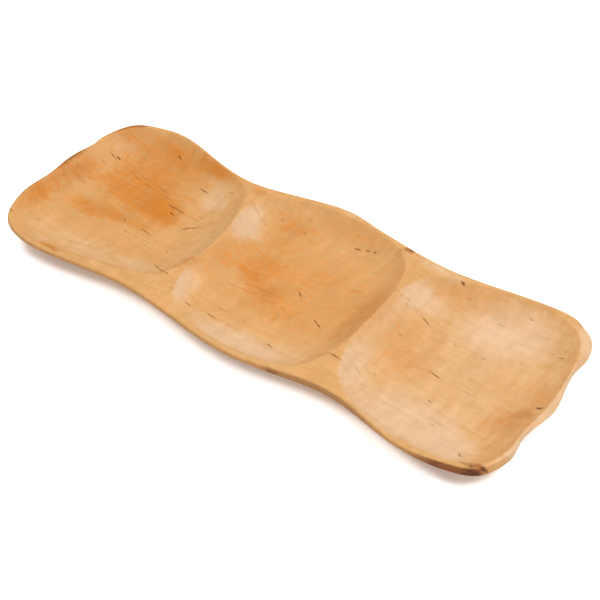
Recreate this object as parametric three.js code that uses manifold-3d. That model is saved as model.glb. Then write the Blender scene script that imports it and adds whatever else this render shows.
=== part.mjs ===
// Serving tray with three pockets, carved from one plank, on four rubber feet.
// Millimetres. +X runs along the tray, +Y to its far side, +Z up. Z = 0 is the table.
import * as THREE from 'three';
import { mergeVertices } from 'three/addons/utils/BufferGeometryUtils.js';
import Module from 'manifold-3d';

// Overall sizes
const trayLength = 610;
const woodHeight = 32;
const floorThickness = 12;

// Reach of the widest outline from the long middle line, at the lobes and at the waists between them
const leftFarReach = 116.4;
const leftNearReach = 115.8;
const middleFarReach = 120.6;
const middleNearReach = 119.5;
const rightFarReach = 120;
const rightNearReach = 119.2;
const leftFarWaist = 97.5;
const leftNearWaist = 105.8;
const rightFarWaist = 106.6;
const rightNearWaist = 102.6;
const middleFarShoulder = 114.1;

// Places along the tray, and how far the end lobes lie from the middle of their pockets
const leftLobeShift = -24.25;
const leftWaistX = -124.5;
const leftRidgeX = -90.5;
const middleFarLobeX = -8;
const middleNearLobeX = 15;
const middleFarShoulderX = 41;
const rightRidgeX = 99.8;
const rightWaistX = 123;
const rightLobeShift = 10.6;

// Corners of the outline
const farLeftCorner = 52;
const nearLeftCorner = 55;
const farRightCorner = 33;
const nearRightCorner = 45;
const nearRightDrop = 6;
const farLeftDrop = 1.9;

// Wavy ends: how far each stretch stays back from the end's furthest bulge
const leftFarSetback = 5;
const leftNotchY = 46;
const leftDipSetback = 1.5;
const leftDipY = -21;
const leftBulgeY = 16;
const rightFarSetback = 9.8;
const rightShoulderSetback = 9.4;
const rightShoulderY = 52;
const rightNotchSetback = 6;
const rightNotchY = -41;
const rightNearSetback = 3.8;
const rightBulgeY = 5;

// Edge band between the crest of the rim and the underside: its height, and how far it leans out
const thinLip = 4.5;
const farLip = 6;
const waistLip = 8;
const cornerLip = 9;
const slightFlare = 1.4;
const bulgeFlare = 5;
const sideFlare = 6;
const cornerFlare = 9;

// Underside: a slope from the edge band down to a flat base
const baseInset = 36;
const undersideCurve = 1.2;
const undersideSteps = 4;
const spineSetback = 105;

// Pockets: rim widths, ridge width, and the bowl's wall
const thinRim = 1.6;
const rimWidth = 3;
const cornerRimWidth = 6;
const middleFarRim = 7;
const middleFarLeftRim = 14;
const endRim = 5.2;
const ridgeWidth = 2.4;
const leftRidgeSkew = 9;
const leftRidgeBendY = 14;
const landInset = 14;
const wallRun = 58;
const wallCurve = 2.3;
const floorDish = 1.2;
const dishSpread = 0.6;
const wallSteps = 7;
const cutterLead = 6;

// Corners of the pockets
const leftPocketOuterCorner = 51;
const leftPocketNearRidgeCorner = 55;
const leftPocketFarRidgeCorner = 40;
const middlePocketNearLeftCorner = 65;
const middlePocketNearRightCorner = 60;
const middlePocketFarRightCorner = 62;
const middlePocketFarLeftCorner = 50;
const rightPocketNearRidgeCorner = 85;
const rightPocketFarRidgeCorner = 55;
const rightPocketNearCorner = 42;
const rightPocketFarCorner = 55;

// Rubber feet, glued in round recesses of the base
const standHeight = 2;
const footRadius = 8.5;
const footTaper = 1.2;
const footEdgeRound = 0.6;
const recessDepth = 2;
const glueGap = 0.3;
const footEndMargin = 66;
const footSideMargin = 19;

// Smoothness of the curves
const pointsPerSpan = 5;
const footSides = 32;

const leftEnd = -trayLength / 2;
const rightEnd = trayLength / 2;
const leftLobeX = (leftEnd + leftRidgeX) / 2 + leftLobeShift;
const rightLobeX = (rightRidgeX + rightEnd) / 2 + rightLobeShift;
const rimHeight = standHeight + woodHeight;
const pocketDepth = woodHeight - floorThickness;
const quarterTurn = Math.PI / 2;

// Three points on a rounded corner, counter-clockwise from above, between two sides
function corner(sideX, sideY, radius, startAngle) {
  const halfway = startAngle + quarterTurn / 2;
  const centreX = sideX - radius * Math.sign(Math.cos(halfway));
  const centreY = sideY - radius * Math.sign(Math.sin(halfway));
  return [startAngle, halfway, startAngle + quarterTurn].map((angle) => [
    centreX + radius * Math.cos(angle),
    centreY + radius * Math.sin(angle),
  ]);
}
const nearLeft = (sideX, sideY, radius) => corner(sideX, sideY, radius, 2 * quarterTurn);
const nearRight = (sideX, sideY, radius) => corner(sideX, sideY, radius, 3 * quarterTurn);
const farRight = (sideX, sideY, radius) => corner(sideX, sideY, radius, 0);
const farLeft = (sideX, sideY, radius) => corner(sideX, sideY, radius, quarterTurn);

// A closed smooth curve through points of the plan, sampled evenly in each span
function closedCurve(points) {
  const spots = points.map((point) => new THREE.Vector3(point[0], point[1], 0));
  const curve = new THREE.CatmullRomCurve3(spots, true, 'centripetal');
  const count = points.length * pointsPerSpan;
  return Array.from({ length: count }, (_, i) => curve.getPoint(i / count));
}

// The same spans for a size that changes along the outline, one value for each of its points
function closedValues(values) {
  return values.flatMap((value, i) => {
    const next = values[(i + 1) % values.length];
    const valueAt = (share) => THREE.MathUtils.lerp(value, next, share);
    return Array.from({ length: pointsPerSpan }, (_, k) => valueAt(k / pointsPerSpan));
  });
}

// The widest outline, counter-clockwise from the near left corner: x, y, edge band height, flare
const withEdge = (points, lip, flare) => points.map(([x, y]) => [x, y, lip, flare]);
const [farRightSide, farRightTip, farRightTop] = farRight(
  rightEnd - rightFarSetback,
  rightFarReach,
  farRightCorner,
);
const outlinePoints = [
  ...withEdge(nearLeft(leftEnd, -leftNearReach, nearLeftCorner), thinLip, slightFlare),
  [leftWaistX, -leftNearWaist, thinLip, slightFlare],
  [middleNearLobeX, -middleNearReach, thinLip, slightFlare],
  [rightWaistX, -rightNearWaist, waistLip, slightFlare],
  [rightLobeX, -rightNearReach, thinLip, slightFlare],
  ...withEdge(
    nearRight(rightEnd - rightNearSetback, -rightNearReach + nearRightDrop, nearRightCorner),
    cornerLip,
    slightFlare,
  ),
  [rightEnd - rightNotchSetback, rightNotchY, thinLip, slightFlare],
  [rightEnd, rightBulgeY, farLip, bulgeFlare],
  [rightEnd - rightShoulderSetback, rightShoulderY, farLip, slightFlare],
  [...farRightSide, cornerLip, sideFlare],
  [...farRightTip, cornerLip, cornerFlare],
  [...farRightTop, farLip, slightFlare],
  [rightWaistX, rightFarWaist, waistLip, slightFlare],
  [middleFarShoulderX, middleFarShoulder, waistLip, slightFlare],
  [middleFarLobeX, middleFarReach, farLip, slightFlare],
  [leftWaistX, leftFarWaist, waistLip, slightFlare],
  [leftLobeX, leftFarReach, thinLip, slightFlare],
  ...withEdge(
    farLeft(leftEnd + leftFarSetback, leftFarReach - farLeftDrop, farLeftCorner),
    thinLip,
    slightFlare,
  ),
  [leftEnd + leftFarSetback, leftNotchY, thinLip, slightFlare],
  [leftEnd, leftBulgeY, thinLip, slightFlare],
  [leftEnd + leftDipSetback, leftDipY, thinLip, slightFlare],
];

const outline = closedCurve(outlinePoints);
const lips = closedValues(outlinePoints.map((point) => point[2]));
const flares = closedValues(outlinePoints.map((point) => point[3]));

// The tray is centred on the box of its outline
const box = new THREE.Box3().setFromPoints(outline);
const middle = box.getCenter(new THREE.Vector3());

// The way in from a point of the outline, towards the spine that the tray is carved around
const spineEnd = trayLength / 2 - spineSetback;
function inward(point) {
  const spine = new THREE.Vector3(THREE.MathUtils.clamp(point.x, -spineEnd, spineEnd), 0, 0);
  return spine.sub(point).normalize();
}

// A ring of the tray: the outline moved in by an inset, at a height, each worked out for point i
function ring(inset, height) {
  return outline.map((point, i) => point.clone().addScaledVector(inward(point), inset(i)).setZ(height(i)));
}

// A closed solid through rings, from the lowest to the highest, each counter-clockwise from above
function loft(rings) {
  const count = rings[0].length;
  const positions = rings.flat().flatMap((point) => point.toArray());
  const index = [];
  for (let level = 0; level < rings.length - 1; level += 1) {
    for (let i = 0; i < count; i += 1) {
      const a = level * count + i;
      const b = level * count + ((i + 1) % count);
      index.push(a, b, b + count, a, b + count, a + count);
    }
  }
  const cap = (points) => {
    const flat = points.map(({ x, y }) => new THREE.Vector2(x, y));
    return THREE.ShapeUtils.triangulateShape(flat, []);
  };
  const top = (rings.length - 1) * count;
  cap(rings[0]).forEach(([a, b, c]) => index.push(a, c, b));
  cap(rings.at(-1)).forEach(([a, b, c]) => index.push(top + a, top + b, top + c));
  const geometry = new THREE.BufferGeometry();
  geometry.setAttribute('position', new THREE.Float32BufferAttribute(positions, 3));
  geometry.setIndex(index);
  return geometry;
}

// The plank before its pockets are cut
function blankGeometry() {
  const rings = [];
  for (let step = undersideSteps; step > 0; step -= 1) {
    const share = step / undersideSteps;
    const rise = (1 - share) ** undersideCurve;
    rings.push(ring(() => baseInset * share, (i) => standHeight + (woodHeight - lips[i]) * rise));
  }
  rings.push(ring(() => 0, (i) => rimHeight - lips[i]));
  rings.push(ring((i) => flares[i], () => rimHeight));
  return loft(rings);
}

// Rims of the three pockets, counter-clockwise from the near left corner
const halfRidge = ridgeWidth / 2;
const rimOf = (reach, width) => reach - slightFlare - width;

const leftPocketRim = [
  ...nearLeft(leftEnd + endRim, -rimOf(leftNearReach, rimWidth), leftPocketOuterCorner),
  ...nearRight(leftRidgeX - halfRidge, -leftNearWaist + landInset, leftPocketNearRidgeCorner),
  [leftRidgeX - halfRidge, leftRidgeBendY],
  ...farRight(
    leftRidgeX - halfRidge - leftRidgeSkew,
    rimOf(leftFarWaist, rimWidth),
    leftPocketFarRidgeCorner,
  ),
  [leftLobeX, rimOf(leftFarReach, rimWidth)],
  ...farLeft(
    leftEnd + leftFarSetback + endRim,
    rimOf(leftFarReach, rimWidth) - farLeftDrop,
    leftPocketOuterCorner,
  ),
  [leftEnd + leftDipSetback + endRim, leftDipY],
];

const middlePocketRim = [
  ...nearLeft(
    leftRidgeX + halfRidge,
    -rimOf(middleNearReach, cornerRimWidth),
    middlePocketNearLeftCorner,
  ),
  [middleNearLobeX, -rimOf(middleNearReach, rimWidth)],
  ...nearRight(
    rightRidgeX - halfRidge,
    -rimOf(middleNearReach, cornerRimWidth),
    middlePocketNearRightCorner,
  ),
  ...farRight(rightRidgeX - halfRidge, rimOf(middleFarShoulder, rimWidth), middlePocketFarRightCorner),
  [middleFarLobeX, rimOf(middleFarReach, middleFarRim)],
  ...farLeft(
    leftRidgeX + halfRidge - leftRidgeSkew,
    rimOf(middleFarReach, middleFarLeftRim),
    middlePocketFarLeftCorner,
  ),
  [leftRidgeX + halfRidge, leftRidgeBendY],
];

const rightPocketRim = [
  ...nearLeft(rightRidgeX + halfRidge, -rimOf(rightNearReach, cornerRimWidth), rightPocketNearRidgeCorner),
  [rightLobeX, -rimOf(rightNearReach, rimWidth)],
  ...nearRight(
    rightEnd - rightNearSetback - endRim,
    -rimOf(rightNearReach, rimWidth) + nearRightDrop,
    rightPocketNearCorner,
  ),
  [rightEnd - rightNotchSetback - slightFlare - thinRim, rightNotchY],
  [rightEnd - bulgeFlare - thinRim, rightBulgeY],
  ...farRight(rightEnd - rightFarSetback - rimWidth, rimOf(rightFarReach, rimWidth), rightPocketFarCorner),
  ...farLeft(rightRidgeX + halfRidge, rimOf(rightFarWaist, rimWidth), rightPocketFarRidgeCorner),
];

// A bowl with this rim: a curved wall that runs out into a slightly dished floor
function pocketGeometry(rimPoints) {
  const rim = closedCurve(rimPoints);
  const centre = new THREE.Box3().setFromPoints(rim).getCenter(new THREE.Vector3());
  const inFrom = (point, run) => point.clone().addScaledVector(centre.clone().sub(point).normalize(), run);
  const atDepth = (run, depth) => rim.map((point) => inFrom(point, run).setZ(rimHeight - depth));
  const dish = (point) => inFrom(point, wallRun).lerp(centre, dishSpread).setZ(rimHeight - pocketDepth);
  const rings = [rim.map(dish)];
  for (let step = wallSteps; step >= 0; step -= 1) {
    const share = step / wallSteps;
    const fall = 1 - (1 - share) ** wallCurve;
    rings.push(atDepth(wallRun * share, (pocketDepth - floorDish) * fall));
  }
  rings.push(atDepth(0, -cutterLead));
  return loft(rings);
}

// Feet: where they stand, their shape and their recesses
const narrowestReach = Math.min(leftFarReach, leftNearReach, rightFarReach, rightNearReach);
const footX = trayLength / 2 - baseInset - footEndMargin;
const footY = narrowestReach - baseInset - footSideMargin;

function turned(profile) {
  const points = profile.map(([radius, height]) => new THREE.Vector2(radius, height));
  return new THREE.LatheGeometry(points, footSides).rotateX(quarterTurn);
}

function footGeometry() {
  const topHeight = standHeight + recessDepth - glueGap;
  return turned([
    [0, 0],
    [footRadius - footTaper, 0],
    [footRadius - footTaper + footEdgeRound, footEdgeRound],
    [footRadius, standHeight],
    [footRadius, topHeight],
    [0, topHeight],
  ]);
}

function recessGeometry() {
  const radius = footRadius + glueGap;
  return turned([
    [0, standHeight - recessDepth],
    [radius, standHeight - recessDepth],
    [radius, standHeight + recessDepth],
    [0, standHeight + recessDepth],
  ]);
}

// Boolean cuts
const wasm = await Module();
wasm.setup();

function solidOf(geometry) {
  const bare = geometry.clone();
  bare.deleteAttribute('normal');
  bare.deleteAttribute('uv');
  const merged = mergeVertices(bare);
  return new wasm.Manifold(new wasm.Mesh({
    numProp: 3,
    vertProperties: new Float32Array(merged.attributes.position.array),
    triVerts: new Uint32Array(merged.index.array),
  }));
}

function geometryOf(solid) {
  const mesh = solid.getMesh();
  const geometry = new THREE.BufferGeometry();
  geometry.setAttribute('position', new THREE.Float32BufferAttribute(mesh.vertProperties, 3));
  geometry.setIndex(new THREE.Uint32BufferAttribute(mesh.triVerts, 1));
  geometry.computeVertexNormals();
  return geometry;
}

const wood = { color: 0xdfa870, roughness: 0.5, metalness: 0 };
const rubber = { color: 0x2e2925, roughness: 0.85, metalness: 0 };

function piece(name, geometry, finish) {
  const mesh = new THREE.Mesh(geometry, new THREE.MeshStandardMaterial(finish));
  mesh.name = name;
  return mesh;
}

const feet = [
  ['foot_left_far', -footX, footY],
  ['foot_left_near', -footX, -footY],
  ['foot_right_far', footX, footY],
  ['foot_right_near', footX, -footY],
];

let tray = solidOf(blankGeometry());
for (const rimPoints of [leftPocketRim, middlePocketRim, rightPocketRim]) {
  tray = tray.subtract(solidOf(pocketGeometry(rimPoints)));
}
for (const [, x, y] of feet) {
  tray = tray.subtract(solidOf(recessGeometry().translate(x + middle.x, y + middle.y, 0)));
}

const group = new THREE.Group();
const carvedTray = piece('carved_tray', geometryOf(tray), wood);
carvedTray.position.set(-middle.x, -middle.y, 0);
group.add(carvedTray);
for (const [name, x, y] of feet) {
  const foot = piece(name, footGeometry(), rubber);
  foot.position.set(x, y, 0);
  group.add(foot);
}

export default group;
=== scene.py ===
import math

import bpy
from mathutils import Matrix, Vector


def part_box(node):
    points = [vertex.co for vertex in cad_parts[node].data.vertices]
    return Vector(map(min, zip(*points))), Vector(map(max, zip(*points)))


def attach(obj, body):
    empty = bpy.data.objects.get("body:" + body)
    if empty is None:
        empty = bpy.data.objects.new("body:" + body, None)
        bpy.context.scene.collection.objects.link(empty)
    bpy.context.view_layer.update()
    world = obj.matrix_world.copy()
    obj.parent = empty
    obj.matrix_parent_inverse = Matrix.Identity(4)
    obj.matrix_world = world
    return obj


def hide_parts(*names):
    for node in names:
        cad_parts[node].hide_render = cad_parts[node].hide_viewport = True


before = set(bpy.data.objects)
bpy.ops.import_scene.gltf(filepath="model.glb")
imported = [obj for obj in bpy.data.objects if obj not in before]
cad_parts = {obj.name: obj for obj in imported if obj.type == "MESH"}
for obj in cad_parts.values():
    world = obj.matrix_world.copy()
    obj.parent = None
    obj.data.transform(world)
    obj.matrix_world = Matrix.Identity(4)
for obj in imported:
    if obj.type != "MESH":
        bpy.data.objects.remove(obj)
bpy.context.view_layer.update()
scene = bpy.context.scene
mm = 0.001
print("frame loaded:", ", ".join(sorted(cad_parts)))


# small helpers for working as by hand
def pick(*objs):
    bpy.ops.object.select_all(action="DESELECT")
    for obj in objs:
        obj.select_set(True)
    bpy.context.view_layer.objects.active = objs[0]


def editMode(obj):
    pick(obj)
    bpy.ops.object.mode_set(mode="EDIT")


def objectMode():
    bpy.ops.object.mode_set(mode="OBJECT")


def selectVerts(obj, wanted):
    # leaves the object in edit mode with only the wanted vertices selected
    editMode(obj)
    bpy.ops.mesh.select_mode(type="VERT")
    bpy.ops.mesh.select_all(action="DESELECT")
    objectMode()
    for vert in obj.data.vertices:
        vert.select = wanted(vert)
    bpy.ops.object.mode_set(mode="EDIT")


def applyModifier(obj, kind, **settings):
    pick(obj)
    modifier = obj.modifiers.new(kind.lower(), kind)
    for name, value in settings.items():
        setattr(modifier, name, value)
    bpy.ops.object.modifier_apply(modifier=modifier.name)


# the tray's outline and sections, in millimetres on the plan
trayShape = dict(
    spineHalf=200,  # the underside slopes in towards this line
    baseInset=36,
    undersideCurve=1.2,
    undersideSteps=8,
    loopDetail=10,  # edges in each span of a curve
    voxel=0.9,
    sandingPasses=7,
    sandingStrength=0.5,
    mostTriangles=186000,
)
thinLip, farLip, waistLip, cornerLip = 4.5, 6, 8, 9
slight, bulge, side, tip = 1.4, 5, 6, 9

trayLow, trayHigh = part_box("carved_tray")
rimHeight = trayHigh.z / mm
baseHeight = trayLow.z / mm


def arc(quarter, sideX, sideY, radius):
    # three points on a rounded corner, counter-clockwise from above
    start = {"farRight": 0, "farLeft": 90, "nearLeft": 180, "nearRight": 270}[quarter]
    half = math.radians(start + 45)
    centreX = sideX - math.copysign(radius, math.cos(half))
    centreY = sideY - math.copysign(radius, math.sin(half))
    angles = [math.radians(start + turn) for turn in (0, 45, 90)]
    return [(centreX + radius * math.cos(a), centreY + radius * math.sin(a)) for a in angles]


def edged(points, lip, flare):
    return [(x, y, lip, flare) for x, y in points]


farRightArc = arc("farRight", 295.2, 120, 33)
outline = [
    *edged(arc("nearLeft", -305, -115.8, 55), thinLip, slight),
    (-124.5, -105.8, thinLip, slight),
    (15, -119.5, thinLip, slight),
    (123, -102.6, waistLip, slight),
    (213, -119.2, thinLip, slight),
    *edged(arc("nearRight", 301.2, -113.2, 45), cornerLip, slight),
    (299, -41, thinLip, slight),
    (305, 5, farLip, bulge),
    (295.6, 52, farLip, slight),
    (*farRightArc[0], cornerLip, side),
    (*farRightArc[1], cornerLip, tip),
    (*farRightArc[2], farLip, slight),
    (123, 106.6, waistLip, slight),
    (41, 114.1, waistLip, slight),
    (-8, 120.6, farLip, slight),
    (-124.5, 97.5, waistLip, slight),
    (-222, 116.4, thinLip, slight),
    *edged(arc("farLeft", -300, 114.5, 52), thinLip, slight),
    (-300, 46, thinLip, slight),
    (-305, 16, thinLip, slight),
    (-303.5, -21, thinLip, slight),
]


def smoothLoop(name, points):
    # a closed curve through points in millimetres, turned into a ring of edges
    places = [Vector(point) * mm for point in points]
    count = len(places)
    bpy.ops.object.select_all(action="DESELECT")
    bpy.ops.curve.primitive_bezier_circle_add()
    loop = bpy.context.object
    loop.name = name
    loop.data.resolution_u = trayShape["loopDetail"]
    knots = loop.data.splines[0].bezier_points
    knots.add(count - len(knots))
    for i, knot in enumerate(knots):
        here, before, after = places[i], places[i - 1], places[(i + 1) % count]
        back = math.sqrt((here - before).length)
        ahead = math.sqrt((after - here).length)
        lean = (here - before) / back - (after - before) / (back + ahead) + (after - here) / ahead
        knot.handle_left_type = knot.handle_right_type = "FREE"
        knot.co = here
        knot.handle_left = here - lean * back / 3
        knot.handle_right = here + lean * ahead / 3
    bpy.ops.object.convert(target="MESH")
    return bpy.context.object


def ring(name, insetOf, heightOf):
    # the outline moved in towards the spine, at a height worked out for each point
    points = []
    for x, y, lip, flare in outline:
        half = trayShape["spineHalf"]
        spine = Vector((max(-half, min(half, x)), 0, 0))
        place = Vector((x, y, 0))
        place += (spine - place).normalized() * insetOf(flare)
        points.append((place.x, place.y, heightOf(lip)))
    return smoothLoop(name, points)


def carveBlank():
    steps = trayShape["undersideSteps"]
    loops = []
    for step in range(steps, 0, -1):
        share = step / steps
        rise = (1 - share) ** trayShape["undersideCurve"]
        loops.append(ring(
            f"underside{step}",
            lambda flare: trayShape["baseInset"] * share,
            lambda lip: baseHeight + (rimHeight - baseHeight - lip) * rise,
        ))
    loops.append(ring("widest", lambda flare: 0, lambda lip: rimHeight - lip))
    loops.append(ring("crest", lambda flare: flare, lambda lip: rimHeight))
    blank = loops[0]
    count = len(blank.data.vertices)
    for loop in loops[1:]:
        first = len(blank.data.vertices) - count
        pick(blank, loop)
        bpy.ops.object.join()
        selectVerts(blank, lambda vert: vert.index >= first)
        bpy.ops.mesh.bridge_edge_loops()
        objectMode()
    editMode(blank)
    bpy.ops.mesh.select_all(action="SELECT")
    bpy.ops.mesh.fill_holes(sides=0)
    bpy.ops.mesh.select_all(action="SELECT")
    bpy.ops.mesh.normals_make_consistent(inside=False)
    objectMode()
    blank.name = "carvedTray"
    return blank


# the three pockets, each a bowl under its own rim
pocketShape = dict(
    depth=20,
    lead=6,  # how far the cutter stands above the rim
    wallRun=58,
    wallCurve=2.3,
    wallSteps=14,
    dish=1.2,
    dishShrink=0.4,
)
pocketRims = dict(
    left=[
        *arc("nearLeft", -299.8, -111.4, 51),
        *arc("nearRight", -91.7, -91.8, 55),
        (-91.7, 14),
        *arc("farRight", -100.7, 93.1, 40),
        (-222, 112),
        *arc("farLeft", -294.8, 110.1, 51),
        (-298.3, -21),
    ],
    middle=[
        *arc("nearLeft", -89.3, -112.1, 65),
        (15, -115.1),
        *arc("nearRight", 98.6, -112.1, 60),
        *arc("farRight", 98.6, 109.7, 62),
        (-8, 112.2),
        *arc("farLeft", -98.3, 105.2, 50),
        (-89.3, 14),
    ],
    right=[
        *arc("nearLeft", 101, -111.8, 85),
        (213, -114.8),
        *arc("nearRight", 296, -108.8, 42),
        (296, -41),
        (298.4, 5),
        *arc("farRight", 292.2, 115.6, 55),
        *arc("farLeft", 101, 102.2, 55),
    ],
)


def pocketCutter(name):
    top = rimHeight + pocketShape["lead"]
    cutter = smoothLoop(f"{name}Pocket", [(x, y, top) for x, y in pocketRims[name]])
    editMode(cutter)
    bpy.ops.mesh.select_all(action="SELECT")
    bpy.ops.mesh.edge_face_add()
    drop = pocketShape["lead"] * mm
    bpy.ops.mesh.extrude_region_move(TRANSFORM_OT_translate={"value": (0, 0, -drop)})
    steps = pocketShape["wallSteps"]
    wallDepth = pocketShape["depth"] - pocketShape["dish"]
    fallen = 0
    for step in range(1, steps + 1):
        fall = wallDepth * (1 - (1 - step / steps) ** pocketShape["wallCurve"])
        drop = (fall - fallen) * mm
        bpy.ops.mesh.extrude_region_move(TRANSFORM_OT_translate={"value": (0, 0, -drop)})
        bpy.ops.transform.push_pull(value=pocketShape["wallRun"] / steps * mm)
        fallen = fall
    drop = pocketShape["dish"] * mm
    shrink = pocketShape["dishShrink"]
    bpy.ops.mesh.extrude_region_move(TRANSFORM_OT_translate={"value": (0, 0, -drop)})
    bpy.ops.transform.resize(value=(shrink, shrink, 1))
    bpy.ops.mesh.select_all(action="SELECT")
    bpy.ops.mesh.normals_make_consistent(inside=False)
    objectMode()
    return cutter


# rubber feet, and the round recesses that they are glued into
footShape = dict(
    nodes=["foot_left_far", "foot_left_near", "foot_right_far", "foot_right_near"],
    glueGap=0.3,
    sides=64,
    taper=0.9,
    padRing=2.4,
    dimple=0.5,
    dimpleSlope=0.7,
    edgeRound=0.35,
    edgeSegments=3,
    sharpAngle=25,
    smoothAngle=40,
)


def footRecess(node):
    low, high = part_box(node)
    gap = footShape["glueGap"] * mm
    middle = (low + high) / 2
    bpy.ops.object.select_all(action="DESELECT")
    bpy.ops.mesh.primitive_cylinder_add(
        vertices=footShape["sides"],
        radius=(high.x - low.x) / 2 + gap,
        depth=(high.z + gap) * 2,
        location=(middle.x, middle.y, 0),
    )
    return bpy.context.object


def cutOut(obj, cutter):
    applyModifier(obj, "BOOLEAN", object=cutter, operation="DIFFERENCE", solver="EXACT")
    bpy.data.objects.remove(cutter)


# hand finishing: soft edges, a faint unevenness, and the worn far left saddle
finishing = dict(
    saddle=(-108, 78, 30, 17),  # centre and reach on the plan
    saddlePasses=16,
    saddleStrength=0.5,
    saddleShares=(1, 0.85, 0.7, 0.55),  # each part of the reach is sanded again
    waviness=0.5,
    waveSize=0.06,
)


def centreOnFrame(obj):
    # the outline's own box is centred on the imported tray's
    corners = [Vector(corner) for corner in obj.bound_box]
    low = Vector((min(c[k] for c in corners) for k in range(3)))
    high = Vector((max(c[k] for c in corners) for k in range(3)))
    shift = (trayLow + trayHigh) / 2 - (low + high) / 2
    editMode(obj)
    bpy.ops.mesh.select_all(action="SELECT")
    bpy.ops.transform.translate(value=(shift.x, shift.y, 0))
    objectMode()


def wearSaddle(tray):
    centreX, centreY, reachX, reachY = finishing["saddle"]
    wear = dict(factor=finishing["saddleStrength"], repeat=finishing["saddlePasses"])
    for share in finishing["saddleShares"]:
        def onSaddle(vert):
            x, y, z = vert.co / mm
            away = math.hypot((x - centreX) / reachX, (y - centreY) / reachY)
            return away < share and z > rimHeight / 2

        selectVerts(tray, onSaddle)
        bpy.ops.mesh.vertices_smooth(**wear)
        objectMode()


def carveTray():
    tray = carveBlank()
    for name in pocketRims:
        cutOut(tray, pocketCutter(name))
    centreOnFrame(tray)
    for node in footShape["nodes"]:
        cutOut(tray, footRecess(node))
    print("tray cut:", len(tray.data.vertices), "vertices")
    applyModifier(tray, "REMESH", mode="VOXEL", voxel_size=trayShape["voxel"] * mm)
    sanding = dict(factor=trayShape["sandingStrength"], iterations=trayShape["sandingPasses"])
    applyModifier(tray, "SMOOTH", **sanding)
    waves = bpy.data.textures.new("toolWaves", "CLOUDS")
    waves.noise_scale = finishing["waveSize"]
    applyModifier(tray, "DISPLACE", texture=waves, strength=finishing["waviness"] * mm, mid_level=0.5)
    wearSaddle(tray)
    ratio = trayShape["mostTriangles"] / (2 * len(tray.data.polygons))
    applyModifier(tray, "DECIMATE", ratio=min(1, ratio))
    pick(tray)
    bpy.ops.object.shade_smooth()
    # which way each place faces, so that painted light and shade on the pocket walls end sharply at
    # the rims, and painted shade covers the outer skirt
    facing = tray.data.attributes.new("facing", "FLOAT_VECTOR", "POINT")
    for vert in tray.data.vertices:
        facing.data[vert.index].vector = vert.normal
    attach(tray, "root")
    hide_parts("carved_tray")
    print("tray finished:", len(tray.data.polygons), "faces")
    return tray


def mouldFoot(node):
    low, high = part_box(node)
    middle = (low + high) / 2
    radius = (high.x - low.x) / 2
    bpy.ops.object.select_all(action="DESELECT")
    bpy.ops.mesh.primitive_cylinder_add(
        vertices=footShape["sides"],
        radius=radius,
        depth=high.z,
        location=(middle.x, middle.y, high.z / 2),
    )
    foot = bpy.context.object
    foot.name = node.replace("foot", "rubber_foot")
    bpy.ops.object.transform_apply(location=True, rotation=False, scale=False)
    editMode(foot)
    bpy.ops.mesh.select_mode(type="FACE")
    bpy.ops.mesh.select_all(action="DESELECT")
    objectMode()
    for face in foot.data.polygons:
        face.select = face.normal.z < -0.5  # only the one that stands on the table
    bpy.ops.object.mode_set(mode="EDIT")
    taper = footShape["taper"]
    bpy.ops.transform.resize(value=(taper, taper, 1), center_override=(middle.x, middle.y, 0))
    bpy.ops.mesh.inset(thickness=footShape["padRing"] * mm, depth=0)
    bpy.ops.mesh.inset(thickness=footShape["dimpleSlope"] * mm, depth=-footShape["dimple"] * mm)
    bpy.ops.mesh.select_all(action="DESELECT")
    bpy.ops.mesh.select_mode(type="EDGE")
    bpy.ops.mesh.edges_select_sharp(sharpness=math.radians(footShape["sharpAngle"]))
    segments = footShape["edgeSegments"]
    bpy.ops.mesh.bevel(offset=footShape["edgeRound"] * mm, segments=segments, affect="EDGES")
    objectMode()
    pick(foot)
    bpy.ops.object.shade_smooth_by_angle(angle=math.radians(footShape["smoothAngle"]))
    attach(foot, "root")
    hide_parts(node)
    return foot


tray = carveTray()
feet = [mouldFoot(node) for node in footShape["nodes"]]
print("feet moulded:", len(feet))


# the sockets of a Mix node that are for colours
mixSockets = dict(factor=0, first=6, second=7, result=2)


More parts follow.
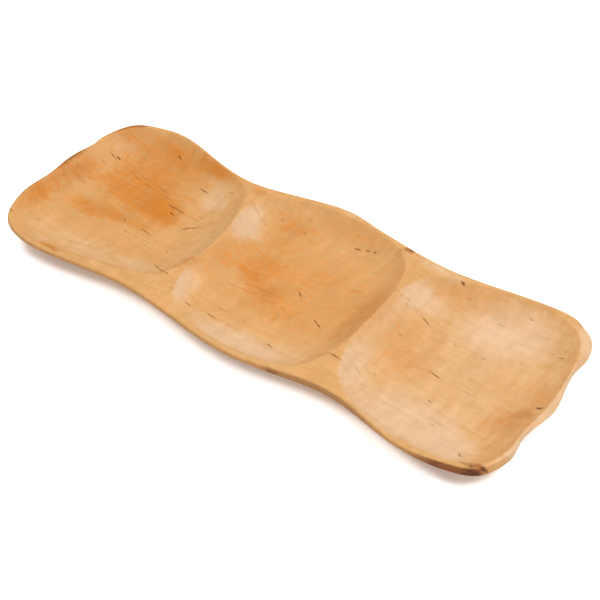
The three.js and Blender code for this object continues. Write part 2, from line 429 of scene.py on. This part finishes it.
# sockets of a material, with arithmetic that adds Math nodes
class Sock:
    def __init__(self, tree, out):
        self.tree = tree
        self.out = out

    def node(self, kind, settings=None, links=None, output=0):
        made = self.tree.nodes.new(kind)
        for name, value in (settings or {}).items():
            setattr(made, name, value)
        for name, value in (links or {}).items():
            if isinstance(value, Sock):
                self.tree.links.new(value.out, made.inputs[name])
            else:
                made.inputs[name].default_value = value
        return Sock(self.tree, made.outputs[output])

    def maths(self, operation, *values):
        return self.node("ShaderNodeMath", {"operation": operation}, dict(enumerate(values)))

    def __add__(self, other):
        return self.maths("ADD", self, other)

    def __radd__(self, other):
        return self.maths("ADD", other, self)

    def __sub__(self, other):
        return self.maths("SUBTRACT", self, other)

    def __rsub__(self, other):
        return self.maths("SUBTRACT", other, self)

    def __mul__(self, other):
        return self.maths("MULTIPLY", self, other)

    def __rmul__(self, other):
        return self.maths("MULTIPLY", other, self)

    def step(self, low, high):
        # 0 at low, 1 at high, smooth between
        settings = {"interpolation_type": "SMOOTHSTEP"}
        links = {"Value": self, "From Min": low, "From Max": high}
        return self.node("ShaderNodeMapRange", settings, links)

    def between(self, first, second):
        # the first colour where this value is 0, the second where it is 1
        links = {mixSockets["factor"]: self, mixSockets["first"]: first, mixSockets["second"]: second}
        return self.node("ShaderNodeMix", {"data_type": "RGBA"}, links, output=mixSockets["result"])

    def over(self, colour, mask):
        # this colour with another laid over it where the mask is 1
        return mask.between(self, colour)

    def along(self, axis):
        return self.node("ShaderNodeSeparateXYZ", {}, {0: self}, output=axis)

    def shifted(self, other, scale):
        spread = self.node("ShaderNodeVectorMath", {"operation": "MULTIPLY"}, {0: other, 1: scale})
        return self.node("ShaderNodeVectorMath", {"operation": "ADD"}, {0: self, 1: spread})

    def noise(self, stretch, detail=3.0, roughness=0.55, output="Fac"):
        place = self.node("ShaderNodeVectorMath", {"operation": "MULTIPLY"}, {0: self, 1: stretch})
        links = {"Vector": place, "Scale": 1.0, "Detail": detail, "Roughness": roughness}
        return self.node("ShaderNodeTexNoise", {}, links, output=output)

    def figure(self, stretch, detail, roughness):
        # noise that runs from about -1 to 1 round nought
        return (self.noise(stretch, detail, roughness) - 0.5) * 4

    def wander(self, stretch, detail, roughness):
        # a shift that changes from place to place, round nought on each axis
        colour = self.noise(stretch, detail, roughness, output="Color")
        links = {0: colour, 1: (0.5, 0.5, 0.5)}
        return self.node("ShaderNodeVectorMath", {"operation": "SUBTRACT"}, links)

    def spot(self, centre, reach, turn):
        # 0 at the spot's centre and 1 on its edge, an ellipse turned on the plan
        links = {"Vector": self, "Center": centre, "Angle": -turn}
        level = self.node("ShaderNodeVectorRotate", {"rotation_type": "Z_AXIS"}, links)
        scale = [1 / part for part in reach]
        offset = [-place / part for place, part in zip(centre, reach)]
        settings = {"operation": "MULTIPLY_ADD"}
        local = level.node("ShaderNodeVectorMath", settings, {0: level, 1: scale, 2: offset})
        return local.node("ShaderNodeVectorMath", {"operation": "LENGTH"}, {0: local}, output="Value")


def tone(red, green, blue):
    # a colour as seen on a screen, 0 to 255, as the shader wants it
    def linear(part):
        part /= 255
        return part / 12.92 if part <= 0.04045 else ((part + 0.055) / 1.055) ** 2.4
    return (linear(red), linear(green), linear(blue), 1.0)


def newMaterial(name):
    material = bpy.data.materials.new(name)
    material.use_nodes = True
    shader = material.node_tree.nodes["Principled BSDF"]
    coordinates = material.node_tree.nodes.new("ShaderNodeTexCoord")
    place = Sock(material.node_tree, coordinates.outputs["Object"])
    return material, shader, place


# colours of the wood; pale also serves as painted light, and orange and brown as painted shade, on
# the pocket walls
woodTones = dict(
    pale=tone(194, 160, 125),
    tan=tone(188, 141, 87),
    orange=tone(180, 109, 36),
    brown=tone(143, 83, 34),
    rust=tone(118, 52, 11),
    fleck=tone(104, 42, 0),
    bark=tone(62, 23, 6),
    # the tone of the painted shade on the undercut outer skirt
    skirt=tone(112, 56, 18),
)

# warm heart patches: centre and reach on the plan in millimetres, turn in degrees, weight
heartPatches = [
    (-210, 25, 76, 44, 0, 0.75), (-225, 78, 84, 40, 0, 0.58), (-175, 15, 34, 26, -10, 0.4),
    (-240, -22, 46, 18, 5, 0.64), (-190, -15, 50, 14, -5, 0.4), (-294, -28, 22, 42, 0, 0.55),
    (-290, 12, 22, 28, 0, 0.35),
    (-270, 30, 48, 44, 0, 0.2), (-283, 85, 26, 16, 45, 0.35), (-225, -106, 22, 8, -8, 0.8),
    (-150, 92, 46, 10, -5, 0.45), (-292, -65, 16, 36, 0, 0.4), (-200, -45, 110, 22, 0, 0.2),
    (-52, 10, 46, 32, 0, 0.25), (-38, 22, 12, 22, 0, 0.1), (-15, -12, 46, 18, -5, 0.2),
    (-50, -8, 48, 16, 0, 0.1), (-50, 58, 34, 36, 0, 0.25), (0, -35, 90, 18, 0, 0.25),
    (-45, 80, 46, 16, 0, 0.3), (15, 15, 120, 80, 0, 0.4), (88, 0, 20, 76, 0, 0.12),
    (-97, -43, 6, 16, -20, 0.6), (-100, 86, 14, 10, 0, 0.4),
    (145, 5, 48, 46, 0, 0.32), (175, -20, 54, 22, 0, 0.2), (-80, -18, 18, 30, 0, 0.25),
    (250, 15, 58, 30, 0, 0.2), (285, 12, 20, 30, 0, 0.25), (272, -26, 30, 26, 0, 0.35),
]
# pale sapwood patches, written the same way
palePatches = [
    (-140, 60, 24, 30, 0, 0.55), (-200, -78, 96, 28, 0, 0.4), (-245, -100, 18, 12, 0, 0.4),
    (-135, -65, 28, 18, 0, 0.4), (-275, 70, 16, 18, 0, 0.4), (-76, 40, 18, 16, 0, 0.4),
    (10, -92, 84, 24, 0, 0.8), (60, -72, 40, 20, 0, 0.3), (130, 62, 28, 20, 0, 0.4),
    (225, 85, 66, 34, 0, 0.6), (200, 60, 66, 30, 0, 0.4),
    (195, -75, 86, 38, 0, 0.7), (245, -80, 36, 24, 0, 0.4), (120, 98, 40, 10, 0, 0.6),
    (210, 0, 116, 116, 0, 0.4), (-15, 116, 70, 5, 0, 0.5),
]
# patches that end sharply at a pocket's rim, on walls that face right, far, left and near: painted
# light on walls that face right and far, painted fill light on walls that face left in the left and
# right pockets, and painted shade in orange and brown on walls that face left and near
rightFacingPaintedLight = [
    (-86, 46, 24, 34, 0, 1.1), (-84, -84, 28, 46, 0, 1.1), (112, 10, 24, 76, 0, 0.45),
    (125, -66, 38, 52, 0, 0.8), (118, 64, 30, 26, 0, 0.55),
]
farFacingPaintedLight = [(195, -100, 95, 20, 0, 0.5), (255, -100, 40, 20, 0, 0.4), (15, -104, 70, 14, 0, 0.3)]
leftFacingPaintedFill = [(-104, 0, 26, 80, 0, 0.25), (280, 50, 20, 46, 0, 0.12)]
leftFacingOrangeShade = [(88, 0, 32, 84, 0, 0.08), (96, 80, 26, 26, 0, 0.25)]
leftFacingBrownShade = [(88, 0, 32, 84, 0, 0.38)]
nearFacingOrangeShade = [(165, 92, 60, 22, 0, 0.25), (15, 100, 70, 18, 0, 0.3), (-190, 98, 80, 18, 0, 0.2)]
# patches on the land outside the pockets; the pale ones are painted light on the right end, which the
# light falls on
rightEndPaintedLight = [(300, 25, 18, 90, 0, 0.7), (297, -62, 20, 42, 0, 0.7), (286, 100, 30, 22, -40, 0.6)]
landBrown = [
    (-303, 18, 9, 36, 0, 1.0), (-304, -30, 6, 56, 0, 0.45), (-292, 86, 22, 8, 60, 1.1),
    (-280, 101, 18, 8, 36, 1.1),
    (-252, 112, 36, 7, 4, 0.3), (-101, 88, 18, 12, 0, 0.3),
]
# brown stains, most of them round knots
brownPatches = [
    (275, -30, 32, 26, 25, 0.3), (284, -8, 20, 15, 25, 0.3), (281, -97, 15, 9, 25, 0.9),
    (80, 105, 9, 6, 0, 0.9), (70, 96, 14, 8, -40, 0.35), (-215, -109, 14, 4, 0, 0.5),
    (-12, -16, 22, 14, 0, 0.45), (-284, 0, 14, 44, 0, 0.4),
]
# nearly black bark and knot hearts
barkPatches = [
    (292, -1, 6, 2.8, -10, 0.75), (289, -96, 8, 1.5, 22, 0.9), (279, -101, 4.5, 2.4, 10, 0.7),
    (80, 106, 5, 2.5, -10, 0.7), (69, 99, 3.5, 2, 0, 0.7), (64, -112, 5, 2.5, 10, 0.6),
    (262, -115, 24, 4, 2, 0.7), (282, -106, 15, 5, 35, 0.9),
]
# stretches of darker painted shade on the outer skirt
skirtShadePatches = [
    (262, -112, 44, 16, 12, 0.6), (280, -106, 20, 12, 20, 0.6), (125, -108, 95, 12, 0, 0.2),
    (66, -113, 9, 8, 0, 0.4),
]
# pith flecks from one place to another on the plan, with their width
darkFlecks = [
    (-282, 53, -271, 50, 0.7), (-273, 54, -269, 54, 1.5), (-219, 94, -212, 91, 0.8),
    (-167, 68, -156, 67, 0.8), (-181, 31, -168, 30, 0.9), (-172, 31, -157, 29, 0.8),
    (-142, 8, -137, 14, 1.1), (-138, 13, -128, 19, 1.0), (-172, 23, -165, 20, 1.0),
    (-179, -15, -165, -18, 0.7), (-205, -14, -198, -18, 0.6), (-128, -54, -114, -61, 0.8),
    (-117, -60, -102, -68, 0.8), (-104, -68, -95, -69, 0.7), (-297, -90, -289, -91, 0.9),
    (23, 86, 30, 87, 1.0), (36, 89, 39, 89, 0.9), (44, 90, 47, 90, 0.9),
    (12, 5, 18, 0, 1.1), (48, -19, 54, -22, 0.8), (53, -22, 60, -25, 1.0),
    (97, -62, 112, -63, 0.9), (131, 46, 146, 41, 0.7), (177, -9, 192, -12, 0.9),
    (145, 97, 149, 96, 1.4), (197, -42, 202, -43, 0.7), (270, 72, 277, 71, 0.6),
    (-40, -78, -28, -78, 0.8), (-63, -84, -56, -83, 0.8), (32, -74, 40, -76, 0.8),
    (258, -85, 262, -90, 0.8),
]
faintFlecks = [
    (-235, 50, -225, 48, 0.8), (-249, 48, -230, 43, 0.8), (-226, 42, -211, 41, 0.7),
    (-214, 47, -191, 45, 0.8), (-193, 38, -181, 38, 0.8), (-151, 28, -134, 28, 0.7),
    (-142, 34, -131, 32, 0.6), (-123, 29, -117, 28, 0.7), (-192, -28, -185, -31, 0.6),
    (-176, -29, -172, -31, 0.7), (-166, -33, -152, -35, 0.5), (-192, -59, -183, -60, 0.6),
    (-134, -28, -129, -31, 0.6), (-272, -75, -268, -76, 0.9), (-225, -77, -220, -77, 0.7),
    (-292, 10, -290, 10, 0.7), (-292, -11, -289, -11, 0.8), (-281, 38, -275, 37, 0.7),
    (-133, 76, -127, 76, 1.0), (-97, 68, -82, 64, 0.5), (-83, 64, -69, 60, 0.5),
    (-37, 77, -31, 76, 0.8), (-66, 77, -60, 77, 0.6), (52, 38, 64, 39, 0.8),
    (6, 6, 13, 5, 0.5), (-23, 28, -19, 28, 0.7), (-38, -18, -35, -18, 0.8),
    (-55, -29, -38, -26, 0.6), (-40, -26, -20, -25, 0.6), (-20, -25, 2, -24, 0.5),
    (11, -32, 17, -35, 0.7), (-39, -62, -27, -62, 0.6), (-15, -77, -12, -77, 0.8),
    (-4, -78, -1, -78, 0.7), (7, -76, 10, -76, 0.6), (-77, -52, -75, -54, 0.7),
    (100, 48, 103, 48, 0.8), (105, 48, 108, 48, 0.8), (111, 50, 114, 50, 0.7),
    (114, 45, 118, 43, 0.8), (159, 88, 162, 88, 0.8), (198, 81, 205, 81, 0.6),
    (176, 35, 181, 33, 0.8), (208, 35, 213, 35, 0.7), (128, 12, 132, 10, 0.8),
    (124, -56, 129, -57, 0.7), (137, -46, 142, -47, 0.6), (216, -66, 220, -67, 0.7),
    (279, 60, 284, 60, 0.6), (260, -87, 264, -89, 0.8), (273, -59, 277, -61, 0.6),
    (288, -64, 292, -66, 0.6), (212, -12, 235, -13, 0.5), (222, 100, 227, 100, 0.9),
    (-84, -82, -76, -82, 0.5), (-218, -110, -205, -110, 1.0),
]
surfaceDepth = dict(middle=24, reach=60)  # spots and flecks reach right through the wood's height
patchFade = dict(outer=1.15, inner=0.2)  # a patch fades between these shares of its reach

# noise that shifts the grain: stretch along each axis, detail, roughness
woodWander = dict(
    drift=((9, 26, 26), 3.0, 0.55),
    flutter=((42, 110, 110), 4.0, 0.65),
    jitter=((500, 900, 900), 2.0, 0.55),
)
# how far each kind of place is shifted, in metres
woodShift = dict(
    swirl=(0.016, 0.018, 0.018),
    wavy=(0.03, 0.02, 0.02),
    frayed=(0.04, 0.018, 0.018),
    ragged=(0.0014, 0.0014, 0.0),
    barkEdge=(0.012, 0.010, 0.010),
)
# figure of the wood, from broad clouds to single fibres: stretch, detail, roughness
woodFigure = dict(
    clouds=((34, 60, 60), 5.0, 0.6),
    streaks=((12, 130, 130), 4.0, 0.65),
    fibres=((26, 420, 420), 3.0, 0.65),
    curl=((120, 34, 34), 2.0, 0.5),
    ripples=((130, 230, 230), 3.0, 0.6),
)
ringFigure = dict(stretch=(7, 30, 30), detail=1.0, crowding=90)
speckFigure = dict(stretch=(75, 500, 500), detail=2.0)
# how much of each figure goes into each quality of the wood
figureShares = dict(
    heartAndShade=dict(clouds=0.10, streaks=0.18, fibres=0.14, ripples=0.20, rings=0.04),
    pale=dict(clouds=0.14, streaks=0.16, curl=0.14),
    brown=dict(clouds=0.06, streaks=0.08),
    skirt=dict(clouds=0.1),
    bark=dict(streaks=0.2),
    value=dict(clouds=0.035, streaks=0.065, fibres=0.07, curl=0.05, ripples=0.05),
    roughness=dict(fibres=0.04, clouds=0.03),
    height=dict(fibres=0.6, streaks=0.4),
)
# masks of the places that face one way, which carry painted light and shade: the axis, where the mask
# starts, and where it is full
facingMasks = dict(
    right=("X", 0.14, 0.54),
    left=("X", -0.1, -0.4),
    near=("Y", -0.1, -0.3),
    far=("Y", 0.1, 0.3),
    outward=("Z", 0.7, 0.0),
)
# where each colour or place starts and is full, and how strongly some colours cover
woodFade = dict(
    pale=(-0.1, 1.1),
    heartAndShade=(0.0, 1.0),
    brown=(0.1, 1.0),
    specks=(0.68, 0.80),
    faint=(1.3, 0.2),
    dark=(1.3, 0.3),
    bark=(0.2, 1.0),
    topSide=(0.006, 0.011),
    nearSide=(-0.085, -0.105),
)
woodStrength = dict(brown=0.85, specks=0.42, faint=0.5, dark=0.85, bark=0.9)
# how much painted shade covers the outer skirt: everywhere, and more on the near side
skirtShade = dict(everywhere=0.15, nearSide=0.28)
woodFinish = dict(roughness=0.5, fleckRoughness=0.15, shine=0.12, bump=0.3, bumpDepth=0.1)
rubberFinish = dict(
    clean=tone(40, 36, 33),
    dusty=tone(62, 56, 50),
    speckle=((900, 900, 900), 3.0),
    dust=((120, 120, 260), 3.0),
    dustFade=(0.45, 0.75),
    roughness=0.78,
    roughnessSpread=0.2,
    shine=0.5,
    bump=0.3,
    bumpDepth=0.2,
)


def patchSum(place, patches):
    total = None
    for x, y, reachX, reachY, turn, weight in patches:
        centre = (x * mm, y * mm, surfaceDepth["middle"] * mm)
        reach = (reachX * mm, reachY * mm, surfaceDepth["reach"] * mm)
        away = place.spot(centre, reach, math.radians(turn))
        patch = away.step(patchFade["outer"], patchFade["inner"]) * weight
        total = patch if total is None else total + patch
    return total


def nearestFleck(place, flecks):
    nearest = None
    for x0, y0, x1, y1, width in flecks:
        centre = ((x0 + x1) / 2 * mm, (y0 + y1) / 2 * mm, surfaceDepth["middle"] * mm)
        half = math.hypot(x1 - x0, y1 - y0) / 2
        reach = ((half + width) * mm, width * mm, surfaceDepth["reach"] * mm)
        distance = place.spot(centre, reach, math.atan2(y1 - y0, x1 - x0))
        nearest = distance if nearest is None else nearest.maths("MINIMUM", nearest, distance)
    return nearest


def figureSum(figures, quality):
    # the figures that one quality of the wood takes, added up
    total = None
    for name, share in figureShares[quality].items():
        part = figures[name] * share
        total = part if total is None else total + part
    return total


def wire(material, shader, colour, roughness, height, surface):
    links = material.node_tree.links
    sockets = {"Strength": surface["bump"], "Distance": surface["bumpDepth"] * mm, "Height": height}
    bump = height.node("ShaderNodeBump", {}, sockets)
    links.new(colour.out, shader.inputs["Base Color"])
    links.new(roughness.out, shader.inputs["Roughness"])
    links.new(bump.out, shader.inputs["Normal"])
    shader.inputs["Specular IOR Level"].default_value = surface["shine"]


def oiledWood():
    material, shader, place = newMaterial("oiledWood")
    drift = place.wander(*woodWander["drift"])
    flutter = place.wander(*woodWander["flutter"])
    jitter = place.wander(*woodWander["jitter"])
    swirl = place.shifted(drift, woodShift["swirl"])
    wavy = place.shifted(drift, woodShift["wavy"])
    frayed = place.shifted(flutter, woodShift["frayed"])
    ragged = place.shifted(jitter, woodShift["ragged"])

    figures = {}
    for name, figure in woodFigure.items():
        base = wavy if name == "clouds" else swirl
        figures[name] = base.figure(*figure)
    rings = wavy.noise(ringFigure["stretch"], ringFigure["detail"]) * ringFigure["crowding"]
    figures["rings"] = rings.maths("SINE", rings)

    facing = place.node("ShaderNodeAttribute", {"attribute_name": "facing"}, output="Vector")
    faces = {}
    for side, (axis, start, full) in facingMasks.items():
        faces[side] = facing.along(axis).step(start, full)
    land = (1 - faces["left"]) * (1 - faces["near"])
    # orange heart patches, plus painted shade in orange on walls that face near and left
    heartAndShade = patchSum(frayed, heartPatches) + patchSum(place, nearFacingOrangeShade) * faces["near"]
    heartAndShade += patchSum(frayed, leftFacingOrangeShade) * faces["left"]
    heartAndShade += figureSum(figures, "heartAndShade")
    pale = patchSum(frayed, palePatches) + figureSum(figures, "pale")
    # painted light on walls that face right and far and on the right end's land, and painted fill
    # light on two walls that face left
    pale += patchSum(place, rightFacingPaintedLight) * faces["right"]
    pale += patchSum(place, leftFacingPaintedFill) * faces["left"]
    pale += patchSum(place, farFacingPaintedLight) * faces["far"]
    pale += patchSum(place, rightEndPaintedLight) * land
    brown = patchSum(frayed, brownPatches) + figureSum(figures, "brown")
    # painted shade in brown on the middle pocket's wall that faces left, and brown patches on the
    # land
    brown += patchSum(frayed, leftFacingBrownShade) * faces["left"] + patchSum(place, landBrown)
    colour = pale.step(*woodFade["pale"]).between(woodTones["tan"], woodTones["pale"])
    colour = colour.over(woodTones["orange"], heartAndShade.step(*woodFade["heartAndShade"]))
    colour = colour.over(woodTones["brown"], brown.step(*woodFade["brown"]) * woodStrength["brown"])

    # painted shade on the undercut outer skirt, darkest on the near side
    nearSide = place.along("Y").step(*woodFade["nearSide"])
    shadeOnSkirt = skirtShade["everywhere"] + nearSide * skirtShade["nearSide"]
    shadeOnSkirt += patchSum(place, skirtShadePatches) + figureSum(figures, "skirt")
    skirt = shadeOnSkirt.maths("MINIMUM", shadeOnSkirt, 1.0) * faces["outward"]
    colour = colour.over(woodTones["skirt"], skirt)

    value = 1 + figureSum(figures, "value")
    streaky = colour.node("ShaderNodeHueSaturation", {}, {"Value": value, "Color": colour})
    topSide = place.along("Z").step(*woodFade["topSide"])
    specks = ragged.noise(speckFigure["stretch"], speckFigure["detail"]).step(*woodFade["specks"])
    faint = nearestFleck(ragged, faintFlecks).step(*woodFade["faint"]) * topSide
    dark = nearestFleck(ragged, darkFlecks).step(*woodFade["dark"]) * topSide
    bark = patchSum(ragged.shifted(flutter, woodShift["barkEdge"]), barkPatches)
    bark = (bark + figureSum(figures, "bark")).step(*woodFade["bark"]) * topSide
    marked = streaky.over(woodTones["rust"], specks * woodStrength["specks"])
    marked = marked.over(woodTones["rust"], faint * woodStrength["faint"])
    marked = marked.over(woodTones["fleck"], dark * woodStrength["dark"])
    marked = marked.over(woodTones["bark"], bark * woodStrength["bark"])

    roughness = woodFinish["roughness"] + figureSum(figures, "roughness")
    roughness += dark * woodFinish["fleckRoughness"]
    wire(material, shader, marked, roughness, figureSum(figures, "height"), woodFinish)
    return material


def footRubber():
    material, shader, place = newMaterial("footRubber")
    speckle = place.noise(*rubberFinish["speckle"])
    dust = place.noise(*rubberFinish["dust"]).step(*rubberFinish["dustFade"])
    colour = dust.between(rubberFinish["clean"], rubberFinish["dusty"])
    roughness = rubberFinish["roughness"] + (speckle - 0.5) * rubberFinish["roughnessSpread"]
    wire(material, shader, colour, roughness, speckle, rubberFinish)
    return material


def dress(obj, material):
    obj.data.materials.clear()
    obj.data.materials.append(material)


dress(tray, oiledWood())
rubber = footRubber()
for foot in feet:
    dress(foot, rubber)
print("materials made")


# studio: white floor with a painted contact shadow, white surroundings, one broad soft light almost
# overhead
studio = dict(
    floorSize=14,
    floorTone=tone(250, 250, 250),
    floorGlow=0.24,  # the table glows evenly, so that only the closest shadow shows
    deepGlow=0.1,  # less glow deep under the tray, a painted shadow
    rimGlow=0.37,  # more glow just under the overhanging rim, painted light that keeps the shadow narrow
    rimBand=(-0.021, -0.008, -0.002, 0.012),  # where that rises and falls, outwards from the outline
    rimLength=0.606,
    rimWidth=0.224,
    rimCorner=0.05,
    rimWave=(0.0075, 0.2475),  # height and spacing of the waves, with a crest in the middle
    floorRoughness=0.9,
    floorShine=0.1,
    skyStrength=0.69,
    keyPower=116,
    keySize=3.4,
    keyDistance=3.2,
    keyFrom=(0.28, 0.12, 1.2),
    azimuth=36.6,
    elevation=43.5,
    lens=93.84,
    sensor=36,
    distance=1.5331,
    aim=(0.0322, -0.0207, 0.034),
)


def paintedFloorShadow(place):
    # the floor's glow paints the contact shadow: it is set by distance on the floor from a rounded
    # box with wavy long sides, much like the tray's outline
    corner = studio["rimCorner"]
    height, spacing = studio["rimWave"]
    waves = place.maths("COSINE", place.along("X") * (math.tau / spacing)) * height
    pastX = place.maths("ABSOLUTE", place.along("X")) - (studio["rimLength"] / 2 - corner)
    pastY = place.maths("ABSOLUTE", place.along("Y")) - (waves + (studio["rimWidth"] / 2 - corner))
    pastX = pastX.maths("MAXIMUM", pastX, 0)
    pastY = pastY.maths("MAXIMUM", pastY, 0)
    outside = place.maths("SQRT", pastX * pastX + pastY * pastY) - corner
    rise, full, fall, gone = studio["rimBand"]
    reached = outside.step(rise, full)
    band = reached * outside.step(gone, fall)
    openPart = studio["floorGlow"] - studio["deepGlow"]
    return studio["deepGlow"] + reached * openPart + band * studio["rimGlow"]


def makeFloor():
    bpy.ops.object.select_all(action="DESELECT")
    bpy.ops.mesh.primitive_plane_add(size=studio["floorSize"])
    floor = bpy.context.object
    floor.name = "floor"
    material, shader, place = newMaterial("paleFloor")
    shader.inputs["Base Color"].default_value = studio["floorTone"]
    # the glow paints a contact shadow round the tray
    material.node_tree.links.new(paintedFloorShadow(place).out, shader.inputs["Emission Color"])
    shader.inputs["Emission Strength"].default_value = 1
    shader.inputs["Roughness"].default_value = studio["floorRoughness"]
    shader.inputs["Specular IOR Level"].default_value = studio["floorShine"]
    dress(floor, material)


def makeLights():
    world = bpy.data.worlds.new("whiteSurroundings")
    scene.world = world
    world.use_nodes = True
    background = world.node_tree.nodes["Background"]
    background.inputs["Color"].default_value = (1, 1, 1, 1)
    background.inputs["Strength"].default_value = studio["skyStrength"]
    direction = Vector(studio["keyFrom"]).normalized()
    bpy.ops.object.light_add(type="AREA", location=direction * studio["keyDistance"])
    key = bpy.context.object
    key.data.shape = "DISK"
    key.data.size = studio["keySize"]
    key.data.energy = studio["keyPower"]
    key.rotation_euler = direction.to_track_quat("Z", "Y").to_euler()


def makeCamera():
    turn = math.radians(studio["azimuth"])
    rise = math.radians(studio["elevation"])
    back = Vector((math.sin(turn) * math.cos(rise), -math.cos(turn) * math.cos(rise), math.sin(rise)))
    bpy.ops.object.camera_add(location=Vector(studio["aim"]) + back * studio["distance"])
    camera = bpy.context.object
    camera.rotation_euler = back.to_track_quat("Z", "Y").to_euler()
    camera.data.lens = studio["lens"]
    camera.data.sensor_width = studio["sensor"]
    scene.camera = camera


makeFloor()
makeLights()
makeCamera()
scene.view_settings.view_transform = "Standard"
print("studio ready")
